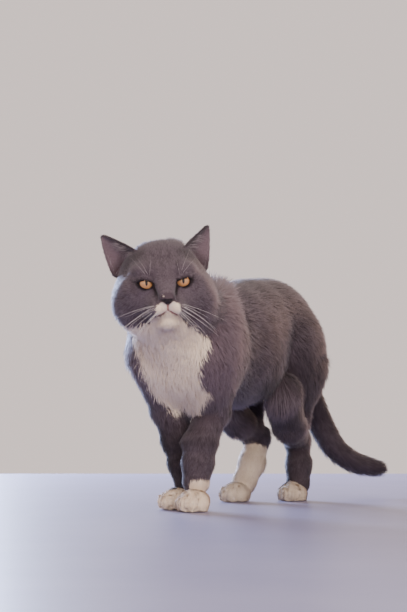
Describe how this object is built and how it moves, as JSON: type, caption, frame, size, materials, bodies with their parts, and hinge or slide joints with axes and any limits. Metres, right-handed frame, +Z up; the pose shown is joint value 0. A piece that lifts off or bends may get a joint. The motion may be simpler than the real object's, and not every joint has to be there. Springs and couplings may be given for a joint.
{
  "type": "standing cat figure",
  "caption": "Life-size standing shorthair cat with plush blue-grey and white coat, head turned to its left, tail low; a still museum-style figure.",
  "frame": {"origin": "on the floor, under the middle of the cat's outline", "axes": "+Z up, the cat's body faces -Y, its left side towards +X; the tail trails towards +Y"},
  "size_m": [0.1818, 0.5326, 0.3378],
  "materials": {
    "blue_fur": "short dense plush coat, blue-grey, matt with a soft pale sheen at the tips",
    "white_fur": "short dense plush coat, warm white, matt",
    "nose_leather": "fine pebbled nose leather, dark slate, slightly moist",
    "amber_eye": "clear glossy cornea over an amber iris with a narrow slit pupil"
  },
  "bodies": {
    "root": {"head": "blue_fur", "ear_left": "blue_fur", "ear_right": "blue_fur", "neck": "blue_fur", "trunk": "blue_fur", "tail_root": "blue_fur", "tail_middle": "blue_fur", "tail_tip": "blue_fur", "upper_arm_left": "blue_fur", "upper_arm_right": "blue_fur", "forearm_left": "blue_fur", "forearm_right": "blue_fur", "thigh_left": "blue_fur", "thigh_right": "blue_fur", "shank_left": "blue_fur", "shank_right": "blue_fur", "muzzle": "white_fur", "chin": "white_fur", "forepaw_left": "white_fur", "forepaw_right": "white_fur", "hindpaw_left": "white_fur", "hindpaw_right": "white_fur", "nose": "nose_leather", "eye_left": "amber_eye", "eye_right": "amber_eye"}
  },
  "joints": []
}
